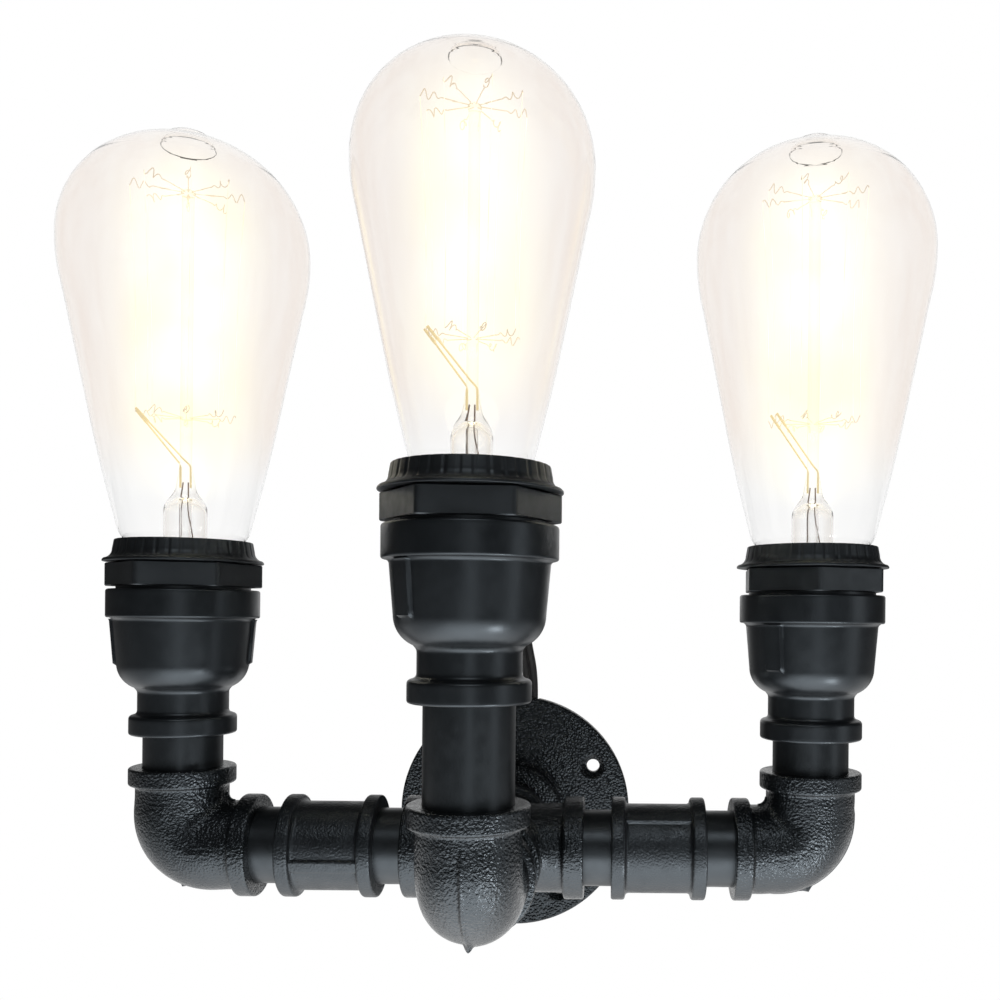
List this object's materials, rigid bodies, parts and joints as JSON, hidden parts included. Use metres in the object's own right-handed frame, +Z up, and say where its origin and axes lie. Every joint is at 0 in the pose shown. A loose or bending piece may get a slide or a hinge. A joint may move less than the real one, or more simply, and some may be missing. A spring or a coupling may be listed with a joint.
{
  "type": "industrial pipe wall light",
  "caption": "Wall light of threaded iron pipe: a round wall plate, a cross, two side arms and a front arm that turn up into bell cups with pear-shaped filament bulbs.",
  "frame": {"origin": "centre of the back of the wall plate, in the wall plane", "axes": "+Y into the wall, -Y into the room, +Z up, +X to the right as the light is looked at"},
  "size_m": [0.3078, 0.1791, 0.3021],
  "materials": {
    "cast_black": "glossy black paint over a rough casting",
    "pipe_black": "smooth satin black paint on steel pipe",
    "satin_black": "satin black paint over a fine casting",
    "holder_plastic": "satin black moulding",
    "brass": "bright",
    "bulb_glass": "clear, slightly warm",
    "cap_metal": "bright",
    "insulator_glass": "black glass",
    "solder": "dull solder",
    "filament_wire": "glowing wire",
    "splice_nylon": "natural nylon",
    "wire_cover": "smooth black cover",
    "copper": "bare stranded copper"
  },
  "bodies": {
    "root": {"wall_plate": "cast_black", "cross": "cast_black", "back_nipple": "pipe_black", "front_nipple": "pipe_black", "left_inner_nipple": "pipe_black", "left_outer_nipple": "pipe_black", "left_coupling": "satin_black", "right_inner_nipple": "pipe_black", "right_outer_nipple": "pipe_black", "right_coupling": "satin_black", "left_elbow": "cast_black", "left_riser": "pipe_black", "left_reducer": "satin_black", "left_holder": "holder_plastic", "left_ring": "holder_plastic", "left_shell": "brass", "left_contact": "brass", "left_wires": "wire_cover", "right_elbow": "cast_black", "right_riser": "pipe_black", "right_reducer": "satin_black", "right_holder": "holder_plastic", "right_ring": "holder_plastic", "right_shell": "brass", "right_contact": "brass", "right_wires": "wire_cover", "front_elbow": "cast_black", "front_riser": "pipe_black", "front_reducer": "satin_black", "front_holder": "holder_plastic", "front_ring": "holder_plastic", "front_shell": "brass", "front_contact": "brass", "front_wires": "wire_cover", "splices": "splice_nylon", "inner_lead": "wire_cover", "supply_lead": "wire_cover", "lead_ends": "copper"},
    "left_lift": {"left_foot": "solder"},
    "left_bulb": {"left_glass": "bulb_glass", "left_cap": "cap_metal", "left_insulator": "insulator_glass", "left_stem": "bulb_glass", "left_filament": "filament_wire"},
    "right_lift": {"right_foot": "solder"},
    "right_bulb": {"right_glass": "bulb_glass", "right_cap": "cap_metal", "right_insulator": "insulator_glass", "right_stem": "bulb_glass", "right_filament": "filament_wire"},
    "front_lift": {"front_foot": "solder"},
    "front_bulb": {"front_glass": "bulb_glass", "front_cap": "cap_metal", "front_insulator": "insulator_glass", "front_stem": "bulb_glass", "front_filament": "filament_wire"}
  },
  "joints": [
    {"name": "left_bulb_rise", "type": "slide", "parent": "root", "child": "left_lift", "axis": [0, 0, 1], "range_m": [0, 0.00814]},
    {"name": "left_bulb_turn", "type": "hinge", "parent": "left_lift", "child": "left_bulb", "pos_m": [-0.1119, -0.074, 0.12], "axis": [0, 0, 1], "range_deg": [0, 810]},
    {"name": "right_bulb_rise", "type": "slide", "parent": "root", "child": "right_lift", "axis": [0, 0, 1], "range_m": [0, 0.00814]},
    {"name": "right_bulb_turn", "type": "hinge", "parent": "right_lift", "child": "right_bulb", "pos_m": [0.1119, -0.074, 0.12], "axis": [0, 0, 1], "range_deg": [0, 810]},
    {"name": "front_bulb_rise", "type": "slide", "parent": "root", "child": "front_lift", "axis": [0, 0, 1], "range_m": [0, 0.00814]},
    {"name": "front_bulb_turn", "type": "hinge", "parent": "front_lift", "child": "front_bulb", "pos_m": [0, -0.144, 0.12], "axis": [0, 0, 1], "range_deg": [0, 810]}
  ],
  "couplings": [
    {"joint": "left_bulb_rise", "follows": "left_bulb_turn", "m_per_rad": 0.00057614},
    {"joint": "right_bulb_rise", "follows": "right_bulb_turn", "m_per_rad": 0.00057614},
    {"joint": "front_bulb_rise", "follows": "front_bulb_turn", "m_per_rad": 0.00057614}
  ]
}
